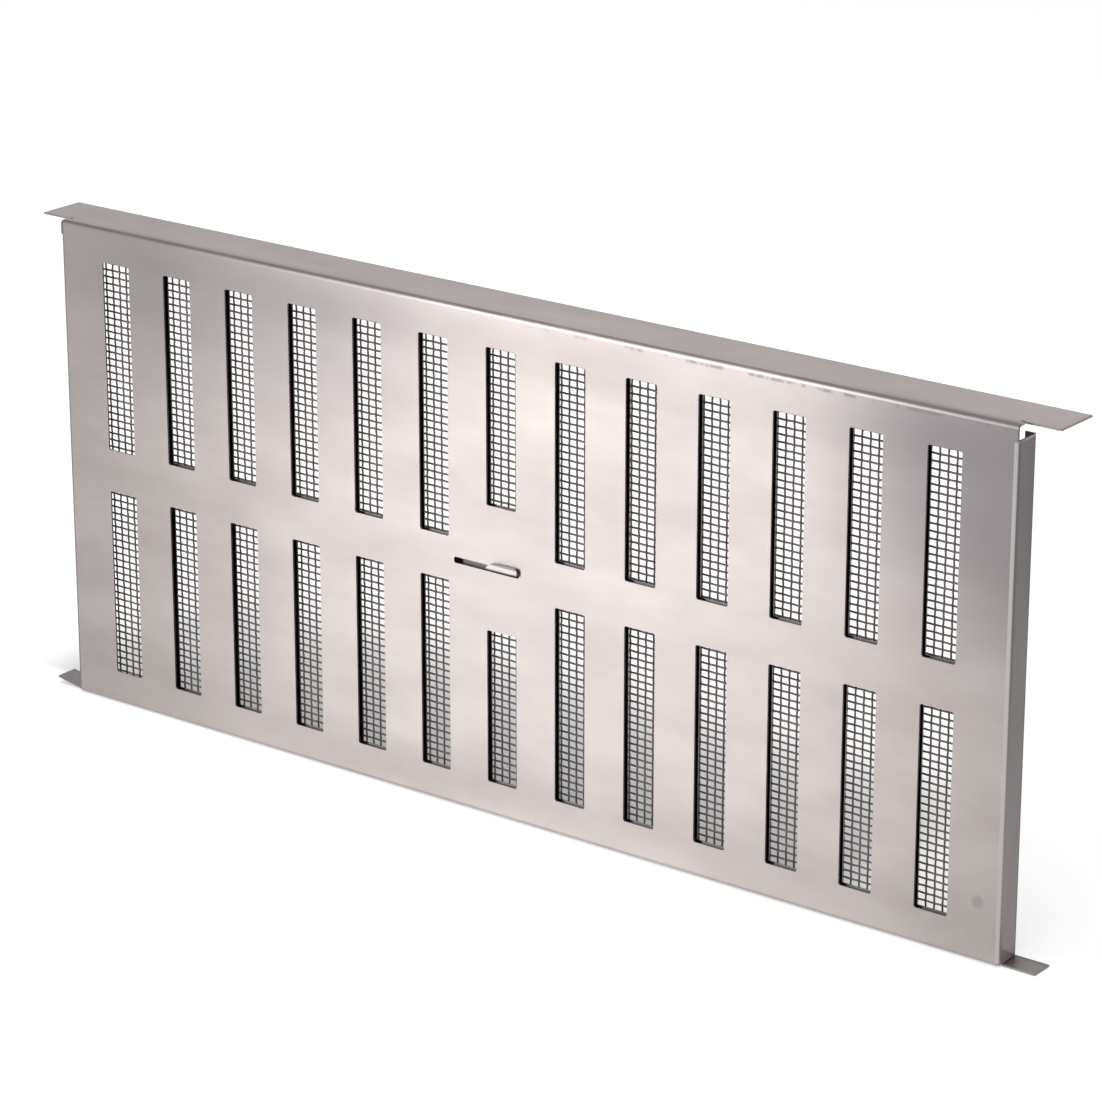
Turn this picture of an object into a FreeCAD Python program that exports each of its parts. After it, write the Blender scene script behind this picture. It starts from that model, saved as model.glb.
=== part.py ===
import FreeCAD, Part
import math
import os

# Foundation vent: a folded aluminium front with two rows of slots, a sliding
# damper plate behind it, and an insect screen behind the damper.
# Millimetres. X runs along the face, Y goes back into the wall, Z is up.
# The origin is under the bottom flange, at the middle of its length and depth.

# Slots in the face
SLOT_COUNT = 13
SLOT_PITCH = 28.5
SLOT_WIDTH = 12.4
SLOT_LENGTH = 69.0
SHORT_SLOT_LENGTH = 54.7
ROW_GAP = 15.6
EDGE_MARGIN = 12.1
SLOT_CORNER = 0.5

# Folded frame
SHEET = 0.6
FOLD_INSIDE = 0.9
TOP_DEPTH = 22.2
BOTTOM_DEPTH = 10.5
SIDE_DEPTH = 10.5
SIDE_TOP_GAP = 5.0
SIDE_BOTTOM_GAP = 0.4
SIDE_LIP = 4.0
LIP_INSIDE = 0.6
EAR_LENGTH = 12.0
TOP_EAR_SETBACK = 4.3
BOTTOM_EAR_SETBACK = 1.8
BENT_EAR_RISE = 2.0
CORNER_RELIEF = 1.6
CORNER_RELIEF_REACH = 1.4
CORNER_SLIT = 0.5
CORNER_STEP = 0.3

# Damper plate and its thumb tab
DAMPER_SHEET = 0.5
DAMPER_FOLD_INSIDE = 0.4
DAMPER_STAND_OFF = 2.0
RUNNER_CLEARANCE = 0.3
DAMPER_EDGE_CLEARANCE = 0.35
DAMPER_SLOT_EASE = 0.2
DAMPER_LEFT_REACH = 0.5
CLOSED_OVERLAP = 2.0
DAMPER_END_CLEARANCE = 2.6
TAB_WIDTH = 13.0
TAB_OPEN_X = 0.75
TAB_HEIGHT = 2.7
TAB_STAND_OFF = 0.8
TAB_SLOPE = 5.0
TAB_CORNER = 0.6
TAB_STOP_CLEARANCE = 0.12
TAB_ROOT_LAP = 3.0
LANCE_SIDE_CLEARANCE = 0.4
LANCE_HEIGHT = 7.0
HANDLE_SLOT_HEIGHT = 2.2

# Insect screen
SCREEN_WALL = 0.6
SCREEN_GAP = 0.3
SCREEN_EDGE_CLEARANCE = 0.3
SCREEN_LIP_CLEARANCE = 0.3
SCREEN_FOLD_INSIDE = 0.3
SCREEN_CORNER_CUT = 2.0
GAPS_PER_SLOT = 4
SCREEN_STRIP = 1.0
RIDGE_BASE = 0.7
RIDGE_TOP = 0.35
RIDGE_RISE = 0.35

# Sizes that follow from the ones above
FOLD_OUTSIDE = FOLD_INSIDE + SHEET
TRAVEL = SLOT_PITCH / 2
ROW_SPAN = (SLOT_COUNT - 1) * SLOT_PITCH + SLOT_WIDTH
END_MARGIN = SHEET + DAMPER_END_CLEARANCE + CLOSED_OVERLAP + TRAVEL + DAMPER_SLOT_EASE
FACE_WIDTH = ROW_SPAN + 2 * END_MARGIN
FACE_HEIGHT = 2 * SLOT_LENGTH + ROW_GAP + 2 * EDGE_MARGIN
HALF_WIDTH = FACE_WIDTH / 2
MID_HEIGHT = FACE_HEIGHT / 2
FRONT = -BOTTOM_DEPTH / 2
DAMPER_FRONT = FRONT + SHEET + DAMPER_STAND_OFF
DAMPER_BACK = DAMPER_FRONT + DAMPER_SHEET
SCREEN_FRONT = DAMPER_BACK + SCREEN_GAP + RIDGE_RISE
SCREEN_BACK = SCREEN_FRONT + SCREEN_WALL
LIP_FRONT = FRONT + SIDE_DEPTH - SHEET
SCREEN_HALF = HALF_WIDTH - SHEET - SCREEN_EDGE_CLEARANCE
SCREEN_LOW = SHEET + SCREEN_EDGE_CLEARANCE
SCREEN_HIGH = FACE_HEIGHT - SCREEN_LOW
SCREEN_FOLD_REACH = SCREEN_FOLD_INSIDE + 2 * SCREEN_WALL

MIDDLE_SLOT = SLOT_COUNT // 2
THROUGH = 40.0

# Largest share of a slot's width that a clipped corner takes
CORNER_SHARE = 0.4
CLOSE = 1e-6


def corner_arc(before, corner, after, radius):
    """The arc that rounds one corner, with the points where it starts and ends."""
    to_before = (before - corner).normalize()
    to_after = (after - corner).normalize()
    half_angle = to_before.getAngle(to_after) / 2
    middle = (to_before + to_after).normalize()
    centre = corner + middle * (radius / math.sin(half_angle))
    start = corner + to_before * (radius / math.tan(half_angle))
    end = corner + to_after * (radius / math.tan(half_angle))
    return start, Part.Arc(start, centre - middle * radius, end).toShape(), end


def rounded_path(points, radius):
    """Edges along an open row of points, with every inner corner rounded."""
    edges = []
    last = points[0]
    for before, corner, after in zip(points, points[1:], points[2:]):
        start, arc, end = corner_arc(before, corner, after, radius)
        edges.append(Part.makeLine(last, start))
        edges.append(arc)
        last = end
    edges.append(Part.makeLine(last, points[-1]))
    return edges


def folded_strip(outside, inside, inside_radius, thickness, sweep):
    """Sheet folded along a path, given by its outside and inside corners, then swept."""
    there = rounded_path(outside, inside_radius + thickness)
    back = rounded_path(inside[::-1], inside_radius)
    end_edge = Part.makeLine(outside[-1], inside[-1])
    start_edge = Part.makeLine(inside[0], outside[0])
    section = Part.Face(Part.Wire(there + [end_edge] + back + [start_edge]))
    return section.extrude(sweep)


def plain_box(x_range, y_range, z_range):
    """A box between two values on each axis."""
    low = FreeCAD.Vector(x_range[0], y_range[0], z_range[0])
    size = [b - a for a, b in (x_range, y_range, z_range)]
    return Part.makeBox(size[0], size[1], size[2], low)


def slot_cutter(x_range, z_range, corner):
    """A prism through the sheets, for a slot whose corners are clipped by the punch."""
    box = plain_box(x_range, (-THROUGH, THROUGH), z_range)
    if corner <= 0:
        return box
    along_y = [e for e in box.Edges if abs(e.tangentAt(0).y) > 1 - CLOSE]
    limit = CORNER_SHARE * min(x_range[1] - x_range[0], z_range[1] - z_range[0])
    return box.makeChamfer(min(corner, limit), along_y)


def slot_x(column):
    """Centre of one column of slots."""
    return (column - MIDDLE_SLOT) * SLOT_PITCH


def slot_rows(column):
    """Height ranges of the lower and upper slot of one column."""
    length = SHORT_SLOT_LENGTH if column == MIDDLE_SLOT else SLOT_LENGTH
    outer = ROW_GAP / 2 + SLOT_LENGTH
    lower = (MID_HEIGHT - outer, MID_HEIGHT - outer + length)
    upper = (MID_HEIGHT + outer - length, MID_HEIGHT + outer)
    return lower, upper


def slot_cutters(columns, ease, corner):
    """Cutters for both rows of slots, each side moved out by the ease."""
    cutters = []
    half = SLOT_WIDTH / 2 + ease
    for column in columns:
        centre = slot_x(column)
        for low, high in slot_rows(column):
            cutters.append(slot_cutter((centre - half, centre + half), (low - ease, high + ease), corner))
    return cutters


def handle_slot_cutter():
    """The short slot in the face that the thumb tab slides along."""
    left = TAB_OPEN_X - TAB_WIDTH / 2 - TRAVEL - TAB_STOP_CLEARANCE
    right = TAB_OPEN_X + TAB_WIDTH / 2 + TAB_STOP_CLEARANCE
    half = HANDLE_SLOT_HEIGHT / 2
    return slot_cutter((left, right), (MID_HEIGHT - half, MID_HEIGHT + half), SLOT_CORNER)


def channel(x_range):
    """Face with its top and bottom flanges, as one folded channel."""
    x = x_range[0]
    back_top = FRONT + TOP_DEPTH
    back_bottom = FRONT + BOTTOM_DEPTH
    outside = [
        FreeCAD.Vector(x, back_top, FACE_HEIGHT),
        FreeCAD.Vector(x, FRONT, FACE_HEIGHT),
        FreeCAD.Vector(x, FRONT, 0),
        FreeCAD.Vector(x, back_bottom, 0),
    ]
    inside = [
        FreeCAD.Vector(x, back_top, FACE_HEIGHT - SHEET),
        FreeCAD.Vector(x, FRONT + SHEET, FACE_HEIGHT - SHEET),
        FreeCAD.Vector(x, FRONT + SHEET, SHEET),
        FreeCAD.Vector(x, back_bottom, SHEET),
    ]
    sweep = FreeCAD.Vector(x_range[1] - x_range[0], 0, 0)
    return folded_strip(outside, inside, FOLD_INSIDE, SHEET, sweep)


def side_flange(side):
    """Flange folded back from one end of the face, with its lip turned inwards."""
    low = SHEET + SIDE_BOTTOM_GAP
    high = FACE_HEIGHT - SIDE_TOP_GAP
    face_edge = HALF_WIDTH - FOLD_OUTSIDE - SHEET
    lip_edge = HALF_WIDTH - SIDE_LIP
    back = FRONT + SIDE_DEPTH
    outer_x = HALF_WIDTH
    inner_x = HALF_WIDTH - SHEET
    face_part = folded_strip(
        [
            FreeCAD.Vector(side * face_edge, FRONT, low),
            FreeCAD.Vector(side * outer_x, FRONT, low),
            FreeCAD.Vector(side * outer_x, back - SIDE_DEPTH / 2, low),
        ],
        [
            FreeCAD.Vector(side * face_edge, FRONT + SHEET, low),
            FreeCAD.Vector(side * inner_x, FRONT + SHEET, low),
            FreeCAD.Vector(side * inner_x, back - SIDE_DEPTH / 2, low),
        ],
        FOLD_INSIDE, SHEET, FreeCAD.Vector(0, 0, high - low))
    lip_part = folded_strip(
        [
            FreeCAD.Vector(side * outer_x, back - SIDE_DEPTH / 2, low),
            FreeCAD.Vector(side * outer_x, back, low),
            FreeCAD.Vector(side * lip_edge, back, low),
        ],
        [
            FreeCAD.Vector(side * inner_x, back - SIDE_DEPTH / 2, low),
            FreeCAD.Vector(side * inner_x, back - SHEET, low),
            FreeCAD.Vector(side * lip_edge, back - SHEET, low),
        ],
        LIP_INSIDE, SHEET, FreeCAD.Vector(0, 0, high - low))
    return face_part.fuse(lip_part)


def ear(side, bottom, y_range, rise):
    """End of a flange that runs on past the face into the mortar joint."""
    root = HALF_WIDTH - FOLD_OUTSIDE - SHEET
    bend = HALF_WIDTH
    tip = HALF_WIDTH + EAR_LENGTH
    profile = [
        (root, bottom),
        (bend, bottom),
        (tip, bottom + rise),
        (tip, bottom + rise + SHEET),
        (bend, bottom + SHEET),
        (root, bottom + SHEET),
    ]
    points = [FreeCAD.Vector(side * x, y_range[0], z) for x, z in profile]
    section = Part.Face(Part.makePolygon(points + points[:1]))
    return section.extrude(FreeCAD.Vector(0, y_range[1] - y_range[0], 0))


def corner_tongue(side):
    """End of the face and of the top fold, above the side flange."""
    start = HALF_WIDTH - FOLD_OUTSIDE - SHEET
    end = HALF_WIDTH - CORNER_STEP
    tongue = channel((min(side * start, side * end), max(side * start, side * end)))
    keep = plain_box(
        (-FACE_WIDTH, FACE_WIDTH),
        (FRONT - SHEET, FRONT + TOP_EAR_SETBACK),
        (FACE_HEIGHT - SIDE_TOP_GAP, FACE_HEIGHT + SHEET))
    return tongue.common(keep)


def corner_relief(side):
    """Slit with a round end that frees the top ear from the fold."""
    radius = CORNER_RELIEF / 2
    slit = CORNER_SLIT / 2
    x = side * (HALF_WIDTH - CORNER_STEP - CORNER_RELIEF_REACH)
    y = FRONT + TOP_EAR_SETBACK
    up = FreeCAD.Vector(0, 0, 1)
    foot = FreeCAD.Vector(x, y, FACE_HEIGHT - 2 * SHEET)
    hole = Part.makeCylinder(radius, 4 * SHEET, foot, up)
    end = side * HALF_WIDTH
    mouth = plain_box(
        (min(x, end), max(x, end)),
        (y - slit, y + slit),
        (FACE_HEIGHT - 2 * SHEET, FACE_HEIGHT + 2 * SHEET))
    return hole.fuse(mouth)


def make_face_frame():
    """Face, flanges, ears and lips, all folded from one sheet."""
    plain_end = HALF_WIDTH - FOLD_OUTSIDE
    frame = channel((-plain_end, plain_end))
    top_ear = (FRONT + TOP_EAR_SETBACK, FRONT + TOP_DEPTH)
    bottom_ear = (FRONT + BOTTOM_EAR_SETBACK, FRONT + BOTTOM_DEPTH)
    pieces = []
    for side in (-1, 1):
        rise = BENT_EAR_RISE if side < 0 else 0
        pieces.append(side_flange(side))
        pieces.append(ear(side, FACE_HEIGHT - SHEET, top_ear, 0))
        pieces.append(ear(side, 0, bottom_ear, rise))
        pieces.append(corner_tongue(side))
    frame = frame.fuse(pieces).removeSplitter()
    cutters = slot_cutters(range(SLOT_COUNT), 0, SLOT_CORNER)
    cutters.append(handle_slot_cutter())
    cutters += [corner_relief(side) for side in (-1, 1)]
    return frame.cut(cutters)


def damper_plate():
    """Plate with its two long edges turned forward as runners."""
    left = slot_x(0) + SLOT_WIDTH / 2 + DAMPER_LEFT_REACH
    right = HALF_WIDTH - SHEET - DAMPER_END_CLEARANCE
    low = SHEET + DAMPER_EDGE_CLEARANCE
    high = FACE_HEIGHT - SHEET - DAMPER_EDGE_CLEARANCE
    tip = FRONT + SHEET + RUNNER_CLEARANCE
    outside = [
        FreeCAD.Vector(left, tip, high),
        FreeCAD.Vector(left, DAMPER_BACK, high),
        FreeCAD.Vector(left, DAMPER_BACK, low),
        FreeCAD.Vector(left, tip, low),
    ]
    inside = [
        FreeCAD.Vector(left, tip, high - DAMPER_SHEET),
        FreeCAD.Vector(left, DAMPER_FRONT, high - DAMPER_SHEET),
        FreeCAD.Vector(left, DAMPER_FRONT, low + DAMPER_SHEET),
        FreeCAD.Vector(left, tip, low + DAMPER_SHEET),
    ]
    sweep = FreeCAD.Vector(right - left, 0, 0)
    return folded_strip(outside, inside, DAMPER_FOLD_INSIDE, DAMPER_SHEET, sweep)


def tab_outline(left, right, low, high):
    """Outline of the turned-up tab from in front, as a prism: one end slopes, one is clipped."""
    slope_top = FreeCAD.Vector(left + TAB_SLOPE, 0, high)
    slope_foot = FreeCAD.Vector(left, 0, low + (high - low) / 4)
    bulge = FreeCAD.Vector(left + TAB_SLOPE / 3, 0, low + (high - low) * 3 / 4)
    clip_start = FreeCAD.Vector(right - TAB_CORNER, 0, high)
    clip_end = FreeCAD.Vector(right, 0, high - TAB_CORNER)
    foot_right = FreeCAD.Vector(right, 0, low)
    foot_left = FreeCAD.Vector(left, 0, low)
    edges = [
        Part.Arc(slope_foot, bulge, slope_top).toShape(),
        Part.makeLine(slope_top, clip_start),
        Part.makeLine(clip_start, clip_end),
        Part.makeLine(clip_end, foot_right),
        Part.makeLine(foot_right, foot_left),
        Part.makeLine(foot_left, slope_foot),
    ]
    outline = Part.Face(Part.Wire(edges))
    outline.translate(FreeCAD.Vector(0, -THROUGH, 0))
    return outline.extrude(FreeCAD.Vector(0, 2 * THROUGH, 0))


def thumb_tab():
    """Tab lanced from the plate, led forward through the face and turned up."""
    left = TAB_OPEN_X - TAB_WIDTH / 2
    right = left + TAB_WIDTH
    under = MID_HEIGHT - DAMPER_SHEET / 2
    over = MID_HEIGHT + DAMPER_SHEET / 2
    halfway = (FRONT + DAMPER_FRONT) / 2
    foot = under - DAMPER_FOLD_INSIDE - TAB_ROOT_LAP
    upright_back = FRONT - TAB_STAND_OFF
    upright_front = upright_back - DAMPER_SHEET
    tip = MID_HEIGHT + TAB_HEIGHT
    sweep = FreeCAD.Vector(TAB_WIDTH, 0, 0)
    root = folded_strip(
        [
            FreeCAD.Vector(left, DAMPER_BACK, foot),
            FreeCAD.Vector(left, DAMPER_BACK, over),
            FreeCAD.Vector(left, halfway, over),
        ],
        [
            FreeCAD.Vector(left, DAMPER_FRONT, foot),
            FreeCAD.Vector(left, DAMPER_FRONT, under),
            FreeCAD.Vector(left, halfway, under),
        ],
        DAMPER_FOLD_INSIDE, DAMPER_SHEET, sweep)
    grip = folded_strip(
        [
            FreeCAD.Vector(left, halfway, under),
            FreeCAD.Vector(left, upright_front, under),
            FreeCAD.Vector(left, upright_front, tip),
        ],
        [
            FreeCAD.Vector(left, halfway, over),
            FreeCAD.Vector(left, upright_back, over),
            FreeCAD.Vector(left, upright_back, tip),
        ],
        DAMPER_FOLD_INSIDE, DAMPER_SHEET, sweep)
    return root.fuse(grip.common(tab_outline(left, right, under, tip)))


def lance_cutter():
    """The window that the tab leaves in the plate."""
    left = TAB_OPEN_X - TAB_WIDTH / 2 - LANCE_SIDE_CLEARANCE
    right = TAB_OPEN_X + TAB_WIDTH / 2 + LANCE_SIDE_CLEARANCE
    low = MID_HEIGHT - DAMPER_SHEET / 2 - DAMPER_FOLD_INSIDE
    return slot_cutter((left, right), (low, low + LANCE_HEIGHT), 0)


def make_damper_plate():
    """Sliding plate whose slots line up with the face when it is open."""
    columns = range(1, SLOT_COUNT)
    cutters = slot_cutters(columns, DAMPER_SLOT_EASE, 0)
    cutters.append(lance_cutter())
    return damper_plate().cut(cutters).fuse(thumb_tab()).removeSplitter()


def screen_wall():
    """Flat wall of the screen, as far as the folds of its turned-back edges."""
    half = SCREEN_HALF - SCREEN_FOLD_REACH
    return plain_box(
        (-half, half),
        (SCREEN_FRONT, SCREEN_BACK),
        (SCREEN_LOW + SCREEN_FOLD_REACH, SCREEN_HIGH - SCREEN_FOLD_REACH))


def screen_edge(place, start, end, sweep):
    """One edge of the screen, turned back. A place is given by a distance across and a depth."""
    rim = LIP_FRONT - SCREEN_LIP_CLEARANCE
    turn = 1 if end > start else -1
    inner = end - turn * SCREEN_WALL
    return folded_strip(
        [place(start, SCREEN_FRONT), place(end, SCREEN_FRONT), place(end, rim)],
        [place(start, SCREEN_BACK), place(inner, SCREEN_BACK), place(inner, rim)],
        SCREEN_FOLD_INSIDE, SCREEN_WALL, sweep)


def make_side_edge(side):
    """Left or right edge of the screen, turned back."""
    low = SCREEN_LOW + SCREEN_CORNER_CUT
    high = SCREEN_HIGH - SCREEN_CORNER_CUT
    start = side * (SCREEN_HALF - SCREEN_FOLD_REACH)
    end = side * SCREEN_HALF
    return screen_edge(lambda x, y: FreeCAD.Vector(x, y, low), start, end, FreeCAD.Vector(0, 0, high - low))


def make_level_edge(start, end):
    """Bottom or top edge of the screen, turned back."""
    short = SCREEN_HALF - SCREEN_CORNER_CUT
    return screen_edge(lambda z, y: FreeCAD.Vector(-short, y, z), start, end, FreeCAD.Vector(2 * short, 0, 0))


def gap_rows(column):
    """Height ranges of the open panes of mesh behind one column of slots."""
    rows = []
    for low, high in slot_rows(column):
        step = (high - low + SCREEN_STRIP) / GAPS_PER_SLOT
        for k in range(GAPS_PER_SLOT):
            rows.append((low + k * step, low + (k + 1) * step - SCREEN_STRIP))
    return rows


def screen_gaps():
    """Open panes in the screen, so that air and light pass behind each slot."""
    gaps = []
    half = SLOT_WIDTH / 2
    for column in range(SLOT_COUNT):
        centre = slot_x(column)
        for low, high in gap_rows(column):
            gaps.append(plain_box((centre - half, centre + half), (-THROUGH, THROUGH), (low, high)))
    return gaps


def ridge_section(place, side):
    """Flattened wire section, standing on one side of the screen wall."""
    wall = SCREEN_FRONT if side < 0 else SCREEN_BACK
    foot = wall - side * SCREEN_WALL / 2
    crest = wall + side * RIDGE_RISE
    profile = [
        (-RIDGE_BASE / 2, foot),
        (RIDGE_BASE / 2, foot),
        (RIDGE_BASE / 2, wall),
        (RIDGE_TOP / 2, crest),
        (-RIDGE_TOP / 2, crest),
        (-RIDGE_BASE / 2, wall),
    ]
    points = [place(across, depth) for across, depth in profile]
    return Part.Face(Part.makePolygon(points + points[:1]))


def level_ridges():
    """Wires that run along the screen, in front, between the rows of panes."""
    half = SCREEN_HALF - SCREEN_CORNER_CUT
    ridges = []
    for low, high in gap_rows(0):
        for z in (low - SCREEN_STRIP / 2, high + SCREEN_STRIP / 2):
            section = ridge_section(lambda across, depth: FreeCAD.Vector(-half, depth, z + across), -1)
            ridges.append(section.extrude(FreeCAD.Vector(2 * half, 0, 0)))
    return ridges


def upright_ridges():
    """Wires that run up the screen, behind, beside each column of panes."""
    low = SCREEN_LOW + SCREEN_CORNER_CUT
    high = SCREEN_HIGH - SCREEN_CORNER_CUT
    ridges = []
    for column in range(SLOT_COUNT):
        for side in (-1, 1):
            x = slot_x(column) + side * (SLOT_WIDTH + SCREEN_STRIP) / 2
            section = ridge_section(lambda across, depth: FreeCAD.Vector(x + across, depth, low), 1)
            ridges.append(section.extrude(FreeCAD.Vector(0, 0, high - low)))
    return ridges


def make_insect_screen():
    """Wire cloth wall, held behind the damper by its turned edges and the side flanges' lips."""
    wires = level_ridges() + upright_ridges()
    wall = screen_wall().fuse(wires)
    return wall.cut(screen_gaps()).removeSplitter()


# The screen and its four edges are one piece of wire cloth on the real vent
os.makedirs("parts", exist_ok=True)
NODES = {
    "face_frame": make_face_frame(),
    "damper_plate": make_damper_plate(),
    "insect_screen": make_insect_screen(),
    "screen_left_edge": make_side_edge(-1),
    "screen_right_edge": make_side_edge(1),
    "screen_bottom_edge": make_level_edge(SCREEN_LOW + SCREEN_FOLD_REACH, SCREEN_LOW),
    "screen_top_edge": make_level_edge(SCREEN_HIGH - SCREEN_FOLD_REACH, SCREEN_HIGH),
}
for name, shape in NODES.items():
    shape.exportStep("parts/" + name + ".step")
    print(name, "solids", len(shape.Solids), "valid", shape.isValid(), "volume", round(shape.Volume, 1))
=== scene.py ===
import math

import bpy
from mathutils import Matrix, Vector


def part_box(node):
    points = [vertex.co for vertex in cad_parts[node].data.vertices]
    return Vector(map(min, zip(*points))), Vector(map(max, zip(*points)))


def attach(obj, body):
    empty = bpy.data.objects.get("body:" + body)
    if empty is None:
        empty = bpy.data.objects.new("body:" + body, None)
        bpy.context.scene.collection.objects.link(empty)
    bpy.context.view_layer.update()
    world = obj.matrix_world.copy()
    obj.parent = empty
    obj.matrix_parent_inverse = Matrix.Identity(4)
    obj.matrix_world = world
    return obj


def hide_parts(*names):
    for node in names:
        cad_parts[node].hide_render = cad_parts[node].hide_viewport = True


# Foundation vent. Metres, in the row frame: X along the face, Y back into the wall, Z up.

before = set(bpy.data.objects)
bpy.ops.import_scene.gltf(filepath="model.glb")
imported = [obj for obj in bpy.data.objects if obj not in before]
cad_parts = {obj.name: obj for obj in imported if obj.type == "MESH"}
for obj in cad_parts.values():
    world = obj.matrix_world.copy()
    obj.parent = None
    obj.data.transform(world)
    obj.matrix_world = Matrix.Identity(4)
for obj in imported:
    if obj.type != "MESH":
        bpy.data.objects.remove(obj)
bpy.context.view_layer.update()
FACE_LOW, FACE_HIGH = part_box("face_frame")
LEFT_EDGE_LOW, LEFT_EDGE_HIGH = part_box("screen_left_edge")
SCREEN_NODES = [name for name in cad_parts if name.startswith("screen") or name == "insect_screen"]
SCREEN_LOW = Vector((
    LEFT_EDGE_LOW.x,
    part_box("insect_screen")[0].y,
    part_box("screen_bottom_edge")[0].z,
))
SCREEN_HIGH = Vector((
    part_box("screen_right_edge")[1].x,
    LEFT_EDGE_HIGH.y,
    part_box("screen_top_edge")[1].z,
))
FRONT = FACE_LOW.y
TOP = FACE_HIGH.z

# Sheet, folds and gaps of the solids
SHEET_THICKNESS = 0.0006
SCREEN_CLEARANCE = 0.0003
SIDE_TOP_GAP = 0.005
SIDE_DEPTH = 0.0105
CORNER_STEP = 0.0003
TOP_EAR_SETBACK = 0.0043
DAMPER_STAND_OFF = 0.002
FACE_HALF = SCREEN_HIGH.x + SCREEN_CLEARANCE + SHEET_THICKNESS
CORNER_FOOT = TOP - SIDE_TOP_GAP
TONGUE_END = FACE_HALF - CORNER_STEP
DAMPER_FRONT = FRONT + SHEET_THICKNESS + DAMPER_STAND_OFF

# Thumb tab: its top edge, its underside and its right end
TAB_TIP = 0.0916
TAB_UNDER = 0.0887
TAB_RIGHT = 0.00725

# Camera of the photo
CAMERA_PLACE = (0.8070, -1.0347, 0.5557)
CAMERA_AIM = (0.0208, -0.0053, 0.1006)
CAMERA_LENS = 136.46
CAMERA_SENSOR = 36.0

# Wire cloth
WIRE = 0.00065
WIRE_SIDES = 5
UPRIGHT_COUNT = 123
LEVEL_COUNT = 69
LIP_WIRES = 2
BEND_RADIUS = 0.0009
STEPS_PER_CROSSING = 2
CRIMP = 0.22
WIRE_REACH = math.pi / (2 * WIRE_SIDES * math.sin(math.pi / WIRE_SIDES))
LIP_DEPTH = (SCREEN_HIGH.y - WIRE) - (SCREEN_LOW.y + WIRE)

# Tones of the finishes, and of the painted shade and highlights
SHEET_DARK = (0.335, 0.300, 0.290)
SHEET_LIGHT = (0.395, 0.358, 0.347)
# Painted shade on the side flanges and along the edges of the ears and the top flange
FLANGE_SHADE_TONE = (0.225, 0.205, 0.202)
# Painted shade in the creases along the folds and round the tab
CREASE_SHADE_TONE = (0.16, 0.14, 0.14)
# Painted highlight along the folds
PAINTED_HIGHLIGHT_TONE = (0.48, 0.455, 0.45)
# Painted shade on two patches of the face
FACE_SHADE_TONE = (0.175, 0.162, 0.170)
# Painted shade in the slots, at the corners, on the side flanges, on the damper behind the short slot and
# at the tab's end
PAINTED_SHADE_TONE = (0.10, 0.09, 0.09)
# Painted shade in a small dent
DENT_SHADE_TONE = (0.17, 0.155, 0.15)
# The damper's tones are darker than the face's, as painted shade behind the face
DAMPER_DARK = (0.26, 0.236, 0.228)
DAMPER_LIGHT = (0.34, 0.312, 0.302)
# Painted lit tone of the tab, which stands in front of the face
TAB_LIT_TONE = (0.40, 0.375, 0.368)
WIRE_DARK = (0.095, 0.079, 0.075)
WIRE_LIGHT = (0.175, 0.152, 0.145)

# Middle range of noise, and the share of its radius in which a round mark is full
NOISE_LOW = 0.3
NOISE_HIGH = 0.7
ROUND_CORE = 0.35

# Grain, blotches and waves of the sheet, as the scale of their noise along each axis and its detail
GRAIN_NOISE = ((35, 1500, 1500), 3)
BLOTCH_NOISE = ((22, 60, 60), 4)
WAVE_NOISE = ((9, 20, 20), 1)
SHEET_ROUGHNESS = (0.33, 0.37)

# How strong the bumps of the waves, the grain and the wire's grain are, and how high
WAVE_BUMP = (0.15, 0.0004)
GRAIN_BUMP = (0.08, 0.00003)
WIRE_BUMP = (0.2, 0.00003)

# Patches and grain of the wire
WIRE_PATCH_NOISE = ((60, 60, 60), 3)
WIRE_GRAIN_NOISE = ((1800, 1800, 1800), 2)
WIRE_ROUGHNESS = (0.42, 0.62)
WIRE_METALLIC = 0.5

# Strips beside the folds that lean, and how far
LEAN_STRIP = 0.022
LEAN_HEIGHT = 0.0012

# Painted shade of a small dent in the face, near its lower right corner
DENT = (0.1883, FRONT, 0.0202)
DENT_RADIUS = 0.0030

# Patches of painted shade on the face: round its top right corner, and along its upper left
SHADE_PATCH_PLACE = (0.205, FRONT, 0.175)
SHADE_PATCH_RADIUS = 0.10
UPPER_LEFT_RISE = (0.10, 0.17)
UPPER_LEFT_RANGE = (-0.15, -0.09)
UPPER_LEFT_SOFT = 0.10

# Soft edges of the marks painted on the sheet
SOFT_EDGE = 0.0002
SOFTER_EDGE = 0.0004
RIGHT_STRIP_SOFT = 0.0003
SLOT_STRIP_SOFT = 0.0005
EDGE_INSET = 0.0001
FOLD_ZONE = 0.0025

# How much of each mark's tone shows
DENT_AMOUNT = 0.4
SHADE_PATCH_AMOUNT = 0.8
UPPER_LEFT_AMOUNT = 0.6
EAR_AMOUNT = 0.7
FLANGE_AMOUNT = 0.9
FLANGE_FADE_AMOUNT = 0.6
FLANGE_BACK_AMOUNT = 0.8
LEFT_STRIP_AMOUNT = 0.85
HIGHLIGHT_AMOUNT = 0.4
DASHES_AMOUNT = 0.7
CREASE_AMOUNTS = (0.6, 1.0)
SLOT_STRIP_AMOUNT = 0.85
TAB_TOP_AMOUNT = 0.9
TAB_UNDERSIDE_AMOUNT = 0.6

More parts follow.
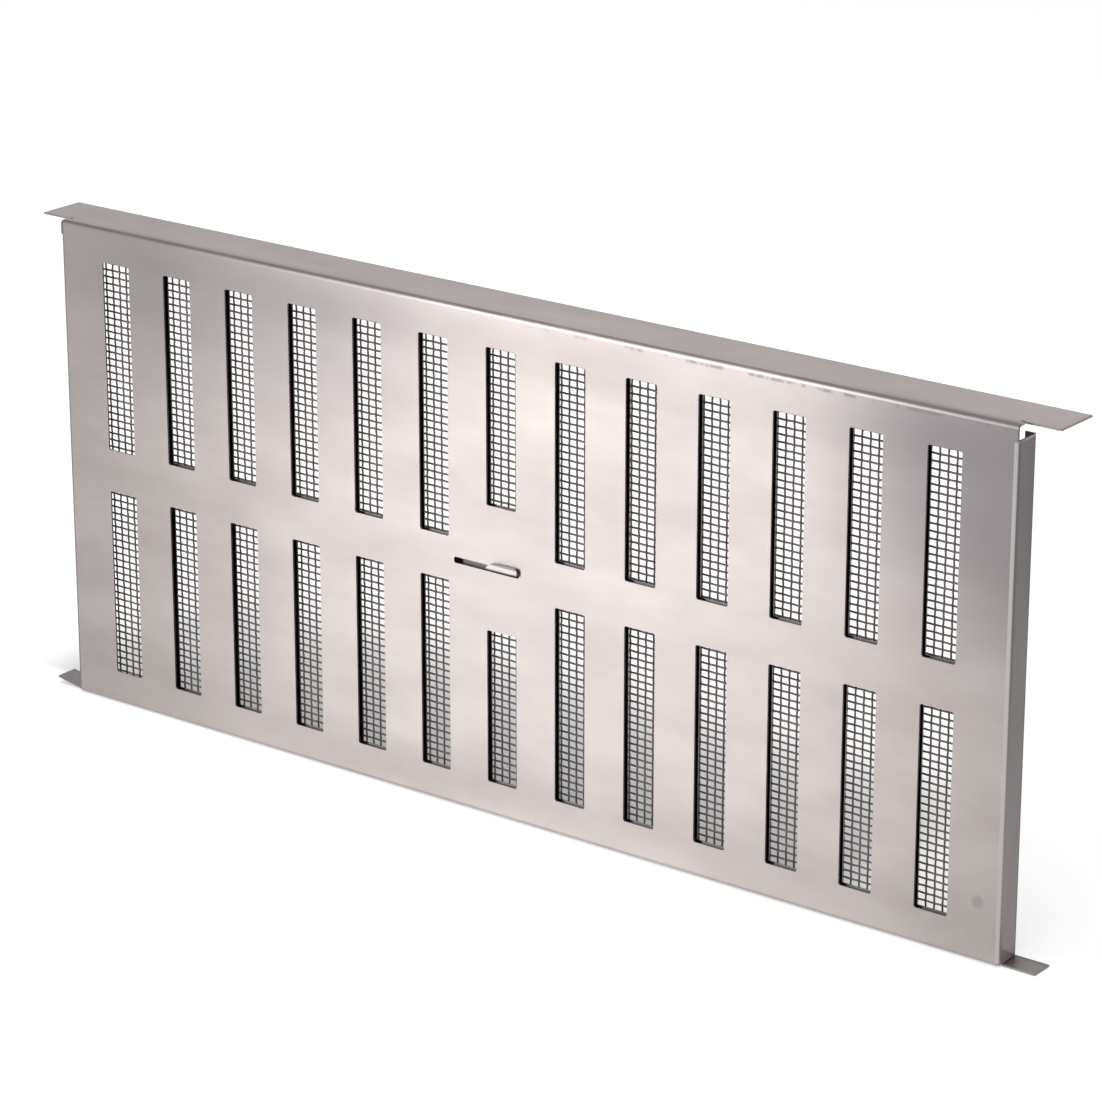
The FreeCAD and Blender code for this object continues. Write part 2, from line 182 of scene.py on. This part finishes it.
# Marks on the sheet: where each one starts and where it is full, from the edge that it follows.
# BOTTOM_EARS, ABOVE_FLOOR and FLANGE_FADE are heights, and RIGHT_HALF is a stretch along X.
INSIDE_FOLDS = (-0.0020, -0.0025)
TONGUE_DEPTH = (0.0019, 0.0011)
FOLD_DEPTH = (0.0019, 0.0013)
TOP_SHEET = (-0.0008, -0.0006)
BACK_RIM = (-0.0007, -0.0002)
EAR_END = (-0.0008, -0.0003)
EAR_FRONT = (0.0006, 0.0002)
PAST_FACE = (0, 0.0003)
BOTTOM_EARS = (0.0045, 0.0035)
BELOW_CORNER = (0, -0.001)
ABOVE_FLOOR = (0.0008, 0.0010)
FLANGE_SHEET = (-0.0006, -0.0002)
FLANGE_BACK = (-0.0017, -0.0010)
FLANGE_FADE = (0.02, 0.15)
CREASE = (-0.0008, -0.0004)
RIGHT_HALF = (-0.02, 0.09)
TAB_TOP_EDGE = (-0.0010, -0.0006)
TAB_UNDERSIDE = (0.0007, 0.0002)
TAB_RIGHT_END = (-0.0030, -0.0015)

# Strips on the sheet: where each one starts and ends, from the edge that it follows
LEFT_STRIP = (-0.001, 0.0011)
RIGHT_STRIP = (-0.0014, -0.0006)
HIGHLIGHT_STRIP = (-0.0013, -0.0008)
DASHED_STRIP = (-0.0024, -0.0018)

# Noise of the crease and of the dashes under it, and where a dash starts and is full
CREASE_NOISE = ((45, 45, 45), 3)
DASH_NOISE = ((220, 60, 60), 2)
DASHES = (0.50, 0.62)

# Painted shade: a dark strip on the damper behind the short slot of the face
SLOT_STRIP_BELOW = 0.0030
SLOT_STRIP_ABOVE = 0.0015
SLOT_STRIP_RANGE = (-0.0215, 0.0220)
SLOT_STRIP_FRONT = 0.0005

# Stage
FLOOR_SIZE = 12.0
FLOOR_DROP = 0.0002
FLOOR_TONE = (0.86, 0.86, 0.86)
FLOOR_LIFT = 0.36
WORLD_LIGHT = 0.55

# Painted soft shadow on the floor behind the vent: its start, where it is full and ends, and its sides
SHADE_START = 0.01
SHADE_FULL = 0.06
SHADE_END = 0.16
SHADE_LEFT = -0.20
SHADE_RIGHT = 0.10
SHADE_SOFT = 0.05

# Lamps
LAMP_AIM = (0, 0, 0.09)
KEY_PLACE = (-0.85, -1.25, 0.42)
KEY_SIZE = (0.47, 0.8)
KEY_POWER = 7.9
OVERHEAD_PLACE = (0.2, -0.3, 2.2)
OVERHEAD_SIZE = (2.0, 2.0)
OVERHEAD_POWER = 20


def new_material(name):
    """An empty node material, with its nodes, links and output."""
    material = bpy.data.materials.new(name)
    material.use_nodes = True
    nodes = material.node_tree.nodes
    nodes.clear()
    output = nodes.new("ShaderNodeOutputMaterial")
    return material, nodes, material.node_tree.links, output


def part_position(nodes):
    """Place on the part in metres, which moves with the piece."""
    return nodes.new("ShaderNodeTexCoord").outputs["Object"]


def stretched_noise(nodes, links, position, scale, detail):
    """Noise with its own scale along each axis."""
    mapping = nodes.new("ShaderNodeMapping")
    mapping.inputs["Scale"].default_value = scale
    links.new(position, mapping.inputs["Vector"])
    noise = nodes.new("ShaderNodeTexNoise")
    noise.inputs["Scale"].default_value = 1.0
    noise.inputs["Detail"].default_value = detail
    links.new(mapping.outputs["Vector"], noise.inputs["Vector"])
    return noise.outputs["Fac"]


def two_tone(nodes, links, factor, dark, light):
    """Colour that goes from dark to light over the middle range of a noise value."""
    ramp = nodes.new("ShaderNodeValToRGB")
    ramp.color_ramp.elements[0].position = NOISE_LOW
    ramp.color_ramp.elements[0].color = (*dark, 1)
    ramp.color_ramp.elements[1].position = NOISE_HIGH
    ramp.color_ramp.elements[1].color = (*light, 1)
    links.new(factor, ramp.inputs["Fac"])
    return ramp.outputs["Color"]


def spread(nodes, links, value, low, high):
    """A noise value mapped from its middle range to another range."""
    node = nodes.new("ShaderNodeMapRange")
    node.inputs["From Min"].default_value = NOISE_LOW
    node.inputs["From Max"].default_value = NOISE_HIGH
    node.inputs["To Min"].default_value = low
    node.inputs["To Max"].default_value = high
    links.new(value, node.inputs["Value"])
    return node.outputs["Result"]


def bump(nodes, links, height, strength, distance, before=None):
    """Bump from a height, on top of another bump if there is one."""
    node = nodes.new("ShaderNodeBump")
    node.inputs["Strength"].default_value = strength
    node.inputs["Distance"].default_value = distance
    links.new(height, node.inputs["Height"])
    if before is not None:
        links.new(before, node.inputs["Normal"])
    return node.outputs["Normal"]


def near_point(nodes, links, position, place, radius):
    """1 at a point, falling to 0 at the radius."""
    away = nodes.new("ShaderNodeVectorMath")
    away.operation = "DISTANCE"
    away.inputs[1].default_value = place
    links.new(position, away.inputs[0])
    fall = nodes.new("ShaderNodeMapRange")
    fall.interpolation_type = "SMOOTHSTEP"
    fall.inputs["From Min"].default_value = radius
    fall.inputs["From Max"].default_value = ROUND_CORE * radius
    links.new(away.outputs["Value"], fall.inputs["Value"])
    return fall.outputs["Result"]


def mixed(nodes, links, factor, first, second):
    """Second colour over the first by the factor."""
    mix = nodes.new("ShaderNodeMix")
    mix.data_type = "RGBA"
    links.new(factor, mix.inputs["Factor"])
    links.new(first, mix.inputs["A"])
    mix.inputs["B"].default_value = (*second, 1)
    return mix.outputs["Result"]


def calculated(nodes, links, operation, first, second=None):
    """Result of one math step on a value and, if given, another value or a number."""
    node = nodes.new("ShaderNodeMath")
    node.operation = operation
    links.new(first, node.inputs[0])
    if isinstance(second, (int, float)):
        node.inputs[1].default_value = second
    elif second is not None:
        links.new(second, node.inputs[1])
    return node.outputs["Value"]


def rising(nodes, links, value, start, end):
    """0 before the start and 1 after the end, which may also be the lower of the two."""
    node = nodes.new("ShaderNodeMapRange")
    node.interpolation_type = "SMOOTHSTEP"
    node.inputs["From Min"].default_value = start
    node.inputs["From Max"].default_value = end
    links.new(value, node.inputs["Value"])
    return node.outputs["Result"]


def band(nodes, links, value, low, high, soft):
    """1 between two values, falling to 0 outside them."""
    above = rising(nodes, links, value, low - soft, low)
    below = rising(nodes, links, value, high + soft, high)
    return calculated(nodes, links, "MULTIPLY", above, below)


def paint(nodes, links, colour, tone, amount, *masks):
    """A tone over the colour where all the masks are 1, at most by the amount."""
    factor = calculated(nodes, links, "MULTIPLY", masks[0], amount)
    for mask in masks[1:]:
        factor = calculated(nodes, links, "MULTIPLY", factor, mask)
    return mixed(nodes, links, factor, colour, tone)


def split_axes(nodes, links, position):
    """The three parts of a place."""
    axes = nodes.new("ShaderNodeSeparateXYZ")
    links.new(position, axes.inputs["Vector"])
    return axes.outputs["X"], axes.outputs["Y"], axes.outputs["Z"]


def from_edge(nodes, links, value, edge, reach):
    """0 where a mark starts and 1 where it is full, both measured from an edge."""
    return rising(nodes, links, value, edge + reach[0], edge + reach[1])


def strip(nodes, links, value, edge, reach, soft):
    """1 on a strip beside an edge, falling to 0 on both sides of it."""
    return band(nodes, links, value, edge + reach[0], edge + reach[1], soft)


def slot_edges(nodes, links, position, colour):
    """Painted shade on the cut edges inside the slots."""
    x, y, z = split_axes(nodes, links, position)
    from_middle = calculated(nodes, links, "ABSOLUTE", x)
    sheet_back = FRONT + SHEET_THICKNESS
    in_sheet = band(nodes, links, y, FRONT + EDGE_INSET, sheet_back - EDGE_INSET, EDGE_INSET / 2)
    inside = from_edge(nodes, links, from_middle, FACE_HALF, INSIDE_FOLDS)
    between_folds = band(nodes, links, z, FOLD_ZONE, TOP - FOLD_ZONE, SOFT_EDGE)
    return paint(nodes, links, colour, PAINTED_SHADE_TONE, 1.0, in_sheet, inside, between_folds)


def ear_edges(nodes, links, position, colour):
    """Painted shade at the ends of the top fold, and along the edges of the ears and the top flange."""
    x, y, z = split_axes(nodes, links, position)
    from_middle = calculated(nodes, links, "ABSOLUTE", x)
    near_front = from_edge(nodes, links, y, FRONT, TONGUE_DEPTH)
    above_corner = rising(nodes, links, z, CORNER_FOOT - SOFT_EDGE, CORNER_FOOT)
    tongue_end = rising(nodes, links, from_middle, TONGUE_END - SOFT_EDGE, TONGUE_END - EDGE_INSET)
    # Painted shade in the corner at each end of the top fold
    colour = paint(nodes, links, colour, PAINTED_SHADE_TONE, 1.0, tongue_end, above_corner, near_front)
    on_top = from_edge(nodes, links, z, TOP, TOP_SHEET)
    back = from_edge(nodes, links, y, FACE_HIGH.y, BACK_RIM)
    colour = paint(nodes, links, colour, FLANGE_SHADE_TONE, EAR_AMOUNT, back, on_top)
    ear_end = from_edge(nodes, links, from_middle, FACE_HIGH.x, EAR_END)
    colour = paint(nodes, links, colour, FLANGE_SHADE_TONE, EAR_AMOUNT, ear_end)
    past_face = from_edge(nodes, links, from_middle, FACE_HALF, PAST_FACE)
    # Painted shade on the ears just above the floor
    near_floor = rising(nodes, links, z, *BOTTOM_EARS)
    colour = paint(nodes, links, colour, FLANGE_SHADE_TONE, EAR_AMOUNT, past_face, near_floor)
    ear_front = from_edge(nodes, links, y, FRONT + TOP_EAR_SETBACK, EAR_FRONT)
    return paint(nodes, links, colour, FLANGE_SHADE_TONE, EAR_AMOUNT, ear_front, past_face, on_top)


def side_flanges(nodes, links, position, colour):
    """Painted shade on the side flanges, deeper towards the top and along their back edge."""
    x, y, z = split_axes(nodes, links, position)
    from_middle = calculated(nodes, links, "ABSOLUTE", x)
    below_corner = from_edge(nodes, links, z, CORNER_FOOT, BELOW_CORNER)
    above_floor = rising(nodes, links, z, *ABOVE_FLOOR)
    on_flange = from_edge(nodes, links, from_middle, FACE_HALF, FLANGE_SHEET)
    colour = paint(nodes, links, colour, FLANGE_SHADE_TONE, FLANGE_AMOUNT, on_flange, below_corner, above_floor)
    higher = rising(nodes, links, z, *FLANGE_FADE)
    colour = paint(nodes, links, colour, PAINTED_SHADE_TONE, FLANGE_FADE_AMOUNT, on_flange, below_corner, higher)
    back_edge = from_edge(nodes, links, y, FRONT + SIDE_DEPTH, FLANGE_BACK)
    return paint(nodes, links, colour, PAINTED_SHADE_TONE, FLANGE_BACK_AMOUNT, on_flange, below_corner, back_edge)


def side_folds(nodes, links, position, colour):
    """A line of painted shade along the left edge of the face, and a painted highlight along the right one.
    """
    x, y, z = split_axes(nodes, links, position)
    near_front = from_edge(nodes, links, y, FRONT, FOLD_DEPTH)
    below_corner = from_edge(nodes, links, z, CORNER_FOOT, BELOW_CORNER)
    left_edge = strip(nodes, links, x, -FACE_HALF, LEFT_STRIP, SOFTER_EDGE)
    colour = paint(nodes, links, colour, CREASE_SHADE_TONE, LEFT_STRIP_AMOUNT, left_edge, near_front)
    # Painted highlight along the right fold
    right_edge = strip(nodes, links, x, FACE_HALF, RIGHT_STRIP, RIGHT_STRIP_SOFT)
    return paint(nodes, links, colour, PAINTED_HIGHLIGHT_TONE, 1.0, right_edge, near_front, below_corner)


def top_fold(nodes, links, position, colour):
    """Along the top fold runs a crease of painted shade, with a painted highlight line and dashes of
    painted shade on the right.
    """
    x, y, z = split_axes(nodes, links, position)
    near_front = from_edge(nodes, links, y, FRONT, FOLD_DEPTH)
    right_half = rising(nodes, links, x, *RIGHT_HALF)
    # Painted highlight along the top fold
    highlight_line = strip(nodes, links, z, TOP, HIGHLIGHT_STRIP, SOFT_EDGE)
    colour = paint(nodes, links, colour, PAINTED_HIGHLIGHT_TONE, HIGHLIGHT_AMOUNT, highlight_line, near_front, right_half)
    under = strip(nodes, links, z, TOP, DASHED_STRIP, SOFTER_EDGE)
    dashes = stretched_noise(nodes, links, position, *DASH_NOISE)
    dashes = rising(nodes, links, dashes, *DASHES)
    colour = paint(nodes, links, colour, CREASE_SHADE_TONE, DASHES_AMOUNT, under, near_front, right_half, dashes)
    crease = from_edge(nodes, links, z, TOP, CREASE)
    uneven = stretched_noise(nodes, links, position, *CREASE_NOISE)
    uneven = spread(nodes, links, uneven, *CREASE_AMOUNTS)
    return paint(nodes, links, colour, CREASE_SHADE_TONE, 1.0, crease, near_front, uneven)


def face_patches(nodes, links, position, colour):
    """Painted shade in a small dent and in two patches of the face."""
    x, y, z = split_axes(nodes, links, position)
    dent = near_point(nodes, links, position, DENT, DENT_RADIUS)
    colour = paint(nodes, links, colour, DENT_SHADE_TONE, DENT_AMOUNT, dent)
    on_face = rising(nodes, links, y, 0, FRONT + SHEET_THICKNESS)
    shade_patch = near_point(nodes, links, position, SHADE_PATCH_PLACE, SHADE_PATCH_RADIUS)
    colour = paint(nodes, links, colour, FACE_SHADE_TONE, SHADE_PATCH_AMOUNT, shade_patch, on_face)
    upper = rising(nodes, links, z, *UPPER_LEFT_RISE)
    left = band(nodes, links, x, *UPPER_LEFT_RANGE, UPPER_LEFT_SOFT)
    return paint(nodes, links, colour, FACE_SHADE_TONE, UPPER_LEFT_AMOUNT, upper, left, on_face)


def face_marks(nodes, links, position, colour):
    """All the painted shade and highlights of the face frame, one over the other."""
    for marks in (face_patches, side_flanges, side_folds, top_fold, slot_edges, ear_edges):
        colour = marks(nodes, links, position, colour)
    return colour


def damper_marks(nodes, links, position, colour):
    """Painted shade on the damper behind the short slot, and a painted lit tone on its tab, with painted
    shade along the tab's top edge, underside and right end.
    """
    x, y, z = split_axes(nodes, links, position)
    gap_front = FRONT + SHEET_THICKNESS + SLOT_STRIP_FRONT
    on_plate = band(nodes, links, y, gap_front, DAMPER_FRONT + EDGE_INSET, SOFT_EDGE)
    below = TAB_UNDER - SLOT_STRIP_BELOW
    above = TAB_TIP + SLOT_STRIP_ABOVE
    by_slot = band(nodes, links, z, below, above, SOFTER_EDGE)
    in_reach = band(nodes, links, x, *SLOT_STRIP_RANGE, SLOT_STRIP_SOFT)
    colour = paint(nodes, links, colour, PAINTED_SHADE_TONE, SLOT_STRIP_AMOUNT, on_plate, by_slot, in_reach)
    # Painted lit tone on the tab in front of the face
    in_front = rising(nodes, links, y, FRONT + SOFT_EDGE, FRONT - SOFT_EDGE)
    colour = paint(nodes, links, colour, TAB_LIT_TONE, 1.0, in_front)
    top_edge = from_edge(nodes, links, z, TAB_TIP, TAB_TOP_EDGE)
    colour = paint(nodes, links, colour, CREASE_SHADE_TONE, TAB_TOP_AMOUNT, in_front, top_edge)
    underside = from_edge(nodes, links, z, TAB_UNDER, TAB_UNDERSIDE)
    colour = paint(nodes, links, colour, CREASE_SHADE_TONE, TAB_UNDERSIDE_AMOUNT, in_front, underside)
    right_end = from_edge(nodes, links, x, TAB_RIGHT, TAB_RIGHT_END)
    return paint(nodes, links, colour, PAINTED_SHADE_TONE, 1.0, in_front, underside, right_end)


def lean_by_folds(nodes, links, position, before):
    """The strips beside the top and bottom folds lean a little, as they spring back."""
    x, y, z = split_axes(nodes, links, position)
    upper = rising(nodes, links, z, TOP - LEAN_STRIP, TOP)
    lower = rising(nodes, links, z, 0, LEAN_STRIP)
    lean = calculated(nodes, links, "ADD", upper, lower)
    return bump(nodes, links, lean, 1.0, LEAN_HEIGHT, before)


def sheet_metal(name, dark, light):
    """Satin mill-finish aluminium sheet: rolled grain along X, faint blotches and waves, with painted shade
    and highlights on top.
    """
    material, nodes, links, output = new_material(name)
    position = part_position(nodes)
    grain = stretched_noise(nodes, links, position, *GRAIN_NOISE)
    blotch = stretched_noise(nodes, links, position, *BLOTCH_NOISE)
    wave = stretched_noise(nodes, links, position, *WAVE_NOISE)
    colour = two_tone(nodes, links, blotch, dark, light)
    if name == "face_sheet":
        colour = face_marks(nodes, links, position, colour)
    else:
        colour = damper_marks(nodes, links, position, colour)
    shader = nodes.new("ShaderNodeBsdfPrincipled")
    shader.inputs["Metallic"].default_value = 1.0
    shader.inputs["Anisotropic"].default_value = 1.0
    across_grain = nodes.new("ShaderNodeTangent")
    across_grain.direction_type = "RADIAL"
    across_grain.axis = "X"
    links.new(across_grain.outputs["Tangent"], shader.inputs["Tangent"])
    links.new(colour, shader.inputs["Base Color"])
    links.new(spread(nodes, links, grain, *SHEET_ROUGHNESS), shader.inputs["Roughness"])
    normal = bump(nodes, links, wave, *WAVE_BUMP)
    normal = bump(nodes, links, grain, *GRAIN_BUMP, normal)
    if name == "face_sheet":
        normal = lean_by_folds(nodes, links, position, normal)
    links.new(normal, shader.inputs["Normal"])
    links.new(shader.outputs["BSDF"], output.inputs["Surface"])
    return material


def drawn_wire():
    """Dull drawn wire, darker in patches."""
    material, nodes, links, output = new_material("screen_wire")
    position = part_position(nodes)
    patch = stretched_noise(nodes, links, position, *WIRE_PATCH_NOISE)
    grain = stretched_noise(nodes, links, position, *WIRE_GRAIN_NOISE)
    shader = nodes.new("ShaderNodeBsdfPrincipled")
    shader.inputs["Metallic"].default_value = WIRE_METALLIC
    links.new(two_tone(nodes, links, patch, WIRE_DARK, WIRE_LIGHT), shader.inputs["Base Color"])
    links.new(spread(nodes, links, grain, *WIRE_ROUGHNESS), shader.inputs["Roughness"])
    links.new(bump(nodes, links, grain, *WIRE_BUMP), shader.inputs["Normal"])
    links.new(shader.outputs["BSDF"], output.inputs["Surface"])
    return material


def seen_directly(nodes, links):
    """1 for what the camera and reflections see, and 0 for the light that falls on things."""
    rays = nodes.new("ShaderNodeLightPath")
    return calculated(nodes, links, "MAXIMUM", rays.outputs["Is Camera Ray"], rays.outputs["Is Glossy Ray"])


def stage_material():
    """Pale matt floor, seen nearly white but for the shadow and a painted soft shadow behind the vent."""
    material, nodes, links, output = new_material("stage_white")
    diffuse = nodes.new("ShaderNodeBsdfDiffuse")
    diffuse.inputs["Color"].default_value = (*FLOOR_TONE, 1)
    lift = nodes.new("ShaderNodeEmission")
    x, y, z = split_axes(nodes, links, part_position(nodes))
    behind = rising(nodes, links, y, 0, SHADE_START)
    near = rising(nodes, links, y, SHADE_END, SHADE_FULL)
    between = band(nodes, links, x, SHADE_LEFT, SHADE_RIGHT, SHADE_SOFT)
    shade = calculated(nodes, links, "MULTIPLY", behind, near)
    shade = calculated(nodes, links, "MULTIPLY", shade, between)
    open_floor = rising(nodes, links, shade, 1, 0)
    strength = calculated(nodes, links, "MULTIPLY", seen_directly(nodes, links), FLOOR_LIFT)
    strength = calculated(nodes, links, "MULTIPLY", strength, open_floor)
    links.new(strength, lift.inputs["Strength"])
    both = nodes.new("ShaderNodeAddShader")
    links.new(diffuse.outputs["BSDF"], both.inputs[0])
    links.new(lift.outputs["Emission"], both.inputs[1])
    links.new(both.outputs["Shader"], output.inputs["Surface"])
    return material


def make_floor():
    """Plain pale floor under the vent."""
    bpy.ops.mesh.primitive_plane_add(size=FLOOR_SIZE, location=(0, 0, -FLOOR_DROP))
    floor = bpy.context.object
    floor.name = "floor"
    floor.data.materials.append(stage_material())


def make_world():
    """White all round for the camera and reflections, and a soft even light for the rest."""
    world = bpy.data.worlds.new("studio")
    bpy.context.scene.world = world
    world.use_nodes = True
    nodes = world.node_tree.nodes
    links = world.node_tree.links
    nodes.clear()
    output = nodes.new("ShaderNodeOutputWorld")
    seen = nodes.new("ShaderNodeBackground")
    seen.inputs["Strength"].default_value = 1.0
    seen.inputs["Color"].default_value = (1, 1, 1, 1)
    light = nodes.new("ShaderNodeBackground")
    light.inputs["Strength"].default_value = WORLD_LIGHT
    light.inputs["Color"].default_value = (1, 1, 1, 1)
    mix = nodes.new("ShaderNodeMixShader")
    links.new(seen_directly(nodes, links), mix.inputs["Fac"])
    links.new(light.outputs["Background"], mix.inputs[1])
    links.new(seen.outputs["Background"], mix.inputs[2])
    links.new(mix.outputs["Shader"], output.inputs["Surface"])


def area_lamp(name, place, aim, size, power):
    """A soft rectangular lamp that points at a place."""
    data = bpy.data.lights.new(name, "AREA")
    data.shape = "RECTANGLE"
    data.size = size[0]
    data.size_y = size[1]
    data.energy = power
    lamp = bpy.data.objects.new(name, data)
    lamp.location = place
    lamp.rotation_euler = (Vector(aim) - Vector(place)).to_track_quat("-Z", "Y").to_euler()
    bpy.context.scene.collection.objects.link(lamp)


def make_lamps():
    """One tall soft lamp in front on the left, and a broad one overhead."""
    area_lamp("key", KEY_PLACE, LAMP_AIM, KEY_SIZE, KEY_POWER)
    area_lamp("overhead", OVERHEAD_PLACE, LAMP_AIM, OVERHEAD_SIZE, OVERHEAD_POWER)


def make_camera():
    """The photo's camera, level and without shift."""
    data = bpy.data.cameras.new("photo_camera")
    data.lens = CAMERA_LENS
    data.sensor_width = CAMERA_SENSOR
    camera = bpy.data.objects.new("photo_camera", data)
    camera.location = CAMERA_PLACE
    camera.rotation_euler = (Vector(CAMERA_AIM) - Vector(CAMERA_PLACE)).to_track_quat("-Z", "Y").to_euler()
    bpy.context.scene.collection.objects.link(camera)
    bpy.context.scene.camera = camera


def cloth_length(low, high):
    """Length of the cloth along one direction, turned edges included."""
    return 2 * (LIP_DEPTH - BEND_RADIUS + BEND_RADIUS * math.pi / 2) + high - low - 2 * BEND_RADIUS


def turned_edge(distance, low, high):
    """Place and outward normal along one direction of the cloth, whose two ends are turned back.

    The distance runs from the back of one turned edge to the back of the other. The answer is
    the place across, the depth behind the cloth's front, and the normal's two parts.
    """
    straight = LIP_DEPTH - BEND_RADIUS
    arc = BEND_RADIUS * math.pi / 2
    length = cloth_length(low, high)
    if distance > length / 2:
        across, depth, side, front = turned_edge(length - distance, low, high)
        return low + high - across, depth, -side, front
    if distance < straight:
        return low, LIP_DEPTH - distance, -1.0, 0.0
    if distance < straight + arc:
        angle = (distance - straight) / BEND_RADIUS
        across = low + BEND_RADIUS * (1 - math.cos(angle))
        depth = BEND_RADIUS * (1 - math.sin(angle))
        return across, depth, -math.cos(angle), math.sin(angle)
    return low + BEND_RADIUS + distance - straight - arc, 0.0, 0.0, 1.0


def wire_distances(low, high, count):
    """Evenly spaced distances of the wires that cross one direction of the cloth."""
    length = cloth_length(low, high)
    return [length * (k + 0.5) / count for k in range(count)]


def cloth_point(along, across, away):
    """Point of the cloth at two distances along it, moved off it towards the front."""
    x, x_depth, x_side, x_front = turned_edge(along, SCREEN_LOW.x + WIRE, SCREEN_HIGH.x - WIRE)
    z, z_depth, z_side, z_front = turned_edge(across, SCREEN_LOW.z + WIRE, SCREEN_HIGH.z - WIRE)
    front = min(x_front, z_front)
    y = SCREEN_LOW.y + WIRE + x_depth + z_depth
    return Vector((x + away * x_side, y - away * front, z + away * z_side))


def tube(points, sides, radius, vertices, faces):
    """Adds a closed-ended tube along points to lists of vertices and faces."""
    first = len(vertices)
    for k, point in enumerate(points):
        before = points[max(k - 1, 0)]
        after = points[min(k + 1, len(points) - 1)]
        ahead = (after - before).normalized()
        helper = Vector((0, 1, 0)) if abs(ahead.y) < 0.9 else Vector((1, 0, 1)).normalized()
        u = ahead.cross(helper).normalized()
        v = ahead.cross(u)
        for s in range(sides):
            angle = 2 * math.pi * s / sides
            vertices.append(point + u * (radius * math.cos(angle)) + v * (radius * math.sin(angle)))
    for k in range(len(points) - 1):
        for s in range(sides):
            a = first + k * sides + s
            b = first + k * sides + (s + 1) % sides
            faces.append((a, b, b + sides, a + sides))
    last = first + (len(points) - 1) * sides
    faces.append(tuple(range(first + sides - 1, first - 1, -1)))
    faces.append(tuple(range(last, last + sides)))


def woven_path(place, crossings, parity, is_upright):
    """Points along one wire, over and under the wires that it crosses."""
    points = []
    for k, crossing in enumerate(crossings):
        sign = 1 if (k + parity) % 2 else -1
        if is_upright:
            sign = -sign
        steps = STEPS_PER_CROSSING if k + 1 < len(crossings) else 1
        gap = crossings[k + 1] - crossing if k + 1 < len(crossings) else 0
        for s in range(steps):
            distance = crossing + gap * s / STEPS_PER_CROSSING
            away = sign * CRIMP * WIRE * math.cos(math.pi * s / STEPS_PER_CROSSING)
            if is_upright:
                points.append(cloth_point(place, distance, away))
            else:
                points.append(cloth_point(distance, place, away))
    return points


def on_the_flat(distance, low, high, inset):
    """True where a distance lies more than the inset from both ends of the cloth."""
    length = cloth_length(low, high)
    return inset < distance < length - inset


def woven_piece(name, is_upright, material):
    """All the wires of the cloth that run one way, as one mesh."""
    x_ends = (SCREEN_LOW.x + WIRE, SCREEN_HIGH.x - WIRE)
    z_ends = (SCREEN_LOW.z + WIRE, SCREEN_HIGH.z - WIRE)
    corner = SCREEN_HIGH.y - SCREEN_LOW.y + SIDE_TOP_GAP
    uprights = wire_distances(*x_ends, UPRIGHT_COUNT + 2 * LIP_WIRES)
    levels = wire_distances(*z_ends, LEVEL_COUNT + 2 * LIP_WIRES)
    flat_uprights = [d for d in uprights if on_the_flat(d, *x_ends, corner)]
    flat_levels = [d for d in levels if on_the_flat(d, *z_ends, corner)]
    if is_upright:
        places, crossings = uprights, levels
        flat_places, flat_crossings = flat_uprights, flat_levels
    else:
        places, crossings = levels, uprights
        flat_places, flat_crossings = flat_levels, flat_uprights
    vertices = []
    faces = []
    radius = WIRE_REACH * WIRE
    for k, place in enumerate(places):
        crossed = crossings if place in flat_places else flat_crossings
        parity = k + crossings.index(crossed[0])
        tube(woven_path(place, crossed, parity, is_upright), WIRE_SIDES, radius, vertices, faces)
    mesh = bpy.data.meshes.new(name)
    mesh.from_pydata(vertices, [], faces)
    mesh.polygons.foreach_set("use_smooth", [len(p.vertices) == 4 for p in mesh.polygons])
    mesh.materials.append(material)
    piece = bpy.data.objects.new(name, mesh)
    bpy.context.scene.collection.objects.link(piece)
    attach(piece, "frame")
    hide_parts(*SCREEN_NODES)


def set_material(node, material):
    """Gives a CAD node its finish."""
    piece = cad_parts[node]
    piece.data.materials.clear()
    piece.data.materials.append(material)


set_material("face_frame", sheet_metal("face_sheet", SHEET_DARK, SHEET_LIGHT))
# The damper gets darker tones than the face, as painted shade
set_material("damper_plate", sheet_metal("damper_sheet", DAMPER_DARK, DAMPER_LIGHT))
wire = drawn_wire()
woven_piece("screen_uprights", True, wire)
woven_piece("screen_levels", False, wire)

make_floor()
make_world()
make_lamps()
make_camera()
bpy.context.scene.view_settings.view_transform = "Standard"
